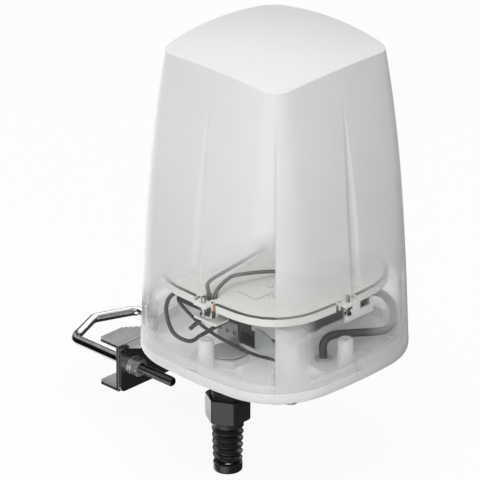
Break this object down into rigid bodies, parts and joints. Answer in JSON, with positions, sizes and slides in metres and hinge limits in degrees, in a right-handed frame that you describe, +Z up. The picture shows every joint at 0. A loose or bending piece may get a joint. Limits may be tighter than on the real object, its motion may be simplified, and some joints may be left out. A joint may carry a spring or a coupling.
{
  "type": "mast-mounted router antenna",
  "caption": "Translucent bowed-square antenna housing with router and leads inside, cable gland below and a toothed V-bolt mast clamp at the side.",
  "frame": {"origin": "centre of the housing's underside, in the plane of the lower edge of the base rim", "axes": "+Z up the housing towards its roof, -X towards the mast clamp, -Y towards the cable gland's side"},
  "size_m": [0.2257, 0.1396, 0.2665],
  "materials": {
    "cover_plastic": "fine satin, milky at the top and clearer below",
    "base_plastic": "fine satin moulding",
    "gasket_rubber": "matt elastomer",
    "stainless": "bright stainless",
    "carrier_plastic": "satin moulding",
    "ground_sheet": "thin off-white coated sheet",
    "tray_metal": "dark grey powder coat",
    "circuit_board": "solder mask",
    "brass": "turned brass",
    "shield_can": "tinned sheet",
    "black_plastic": "moulded black plastic",
    "clear_plastic": "clear polycarbonate",
    "copper_foil": "etched copper",
    "ceramic": "unglazed ceramic",
    "lead_sheath": "smooth cable sheath",
    "gland_nylon": "black nylon",
    "locknut_plastic": "light grey nylon",
    "clamp_steel": "polished stainless sheet",
    "bolt_steel": "polished stainless rod"
  },
  "bodies": {
    "base": {"base": "base_plastic", "base_gasket": "gasket_rubber", "cover_screws": "stainless", "lead_grommet": "gasket_rubber", "carrier_plate": "carrier_plastic", "ground_plane": "ground_sheet", "plate_pins": "stainless", "plate_screws": "locknut_plastic", "router_tray": "tray_metal", "router_board": "circuit_board", "board_spacers": "brass", "board_screws": "stainless", "radio_module": "shield_can", "modem_box": "black_plastic", "filter_box": "shield_can", "antenna_sockets": "brass", "service_flap": "clear_plastic", "antenna_board_a": "circuit_board", "antenna_board_b": "circuit_board", "antenna_board_c": "circuit_board", "radiators": "copper_foil", "satnav_patch": "ceramic", "flex_strips": "black_plastic", "strip_contacts": "copper_foil", "network_lead": "lead_sheath", "network_plug": "black_plastic", "antenna_leads": "lead_sheath", "loop_lead": "lead_sheath", "cross_lead": "lead_sheath", "stub_lead": "lead_sheath", "gland_body": "gland_nylon", "gland_ring": "gasket_rubber", "gland_locknut": "locknut_plastic", "gland_cap": "locknut_plastic", "bracket": "clamp_steel", "bracket_screws": "stainless", "jaw": "clamp_steel", "flat_washers": "stainless", "spring_washers": "stainless"},
    "cover": {"cover": "cover_plastic"},
    "v_bolt": {"v_bolt": "bolt_steel"},
    "clamp_nut_near": {"clamp_nut_near": "stainless"},
    "clamp_nut_far": {"clamp_nut_far": "stainless"},
    "gland_seal": {"gland_seal": "gasket_rubber"},
    "gland_nut": {"gland_nut": "gland_nylon"}
  },
  "joints": [
    {"name": "cover_lift", "type": "slide", "parent": "base", "child": "cover", "axis": [0, 0, 1], "range_m": [0, 0.2]},
    {"name": "v_bolt_slide", "type": "slide", "parent": "base", "child": "v_bolt", "axis": [1, 0, 0], "range_m": [-0.008, 0.012]},
    {"name": "nut_near_turn", "type": "hinge", "parent": "base", "child": "clamp_nut_near", "pos_m": [-0.087, -0.027, -0.0345], "axis": [-1, 0, 0], "range_deg": [-2881, 4321]},
    {"name": "nut_far_turn", "type": "hinge", "parent": "base", "child": "clamp_nut_far", "pos_m": [-0.087, 0.027, -0.0345], "axis": [-1, 0, 0], "range_deg": [-2881, 4321]},
    {"name": "gland_feed", "type": "slide", "parent": "base", "child": "gland_seal", "axis": [0, 0, 1], "range_m": [-0.0015, 0.006]},
    {"name": "gland_turn", "type": "hinge", "parent": "gland_seal", "child": "gland_nut", "pos_m": [0, -0.0395, -0.025], "axis": [0, 0, 1], "range_deg": [-360.5, 1440.5]}
  ],
  "couplings": [
    {"joint": "nut_near_turn", "follows": "v_bolt_slide", "rad_per_m": 6283.2},
    {"joint": "nut_far_turn", "follows": "v_bolt_slide", "rad_per_m": 6283.2},
    {"joint": "gland_turn", "follows": "gland_feed", "rad_per_m": 4188.8}
  ]
}
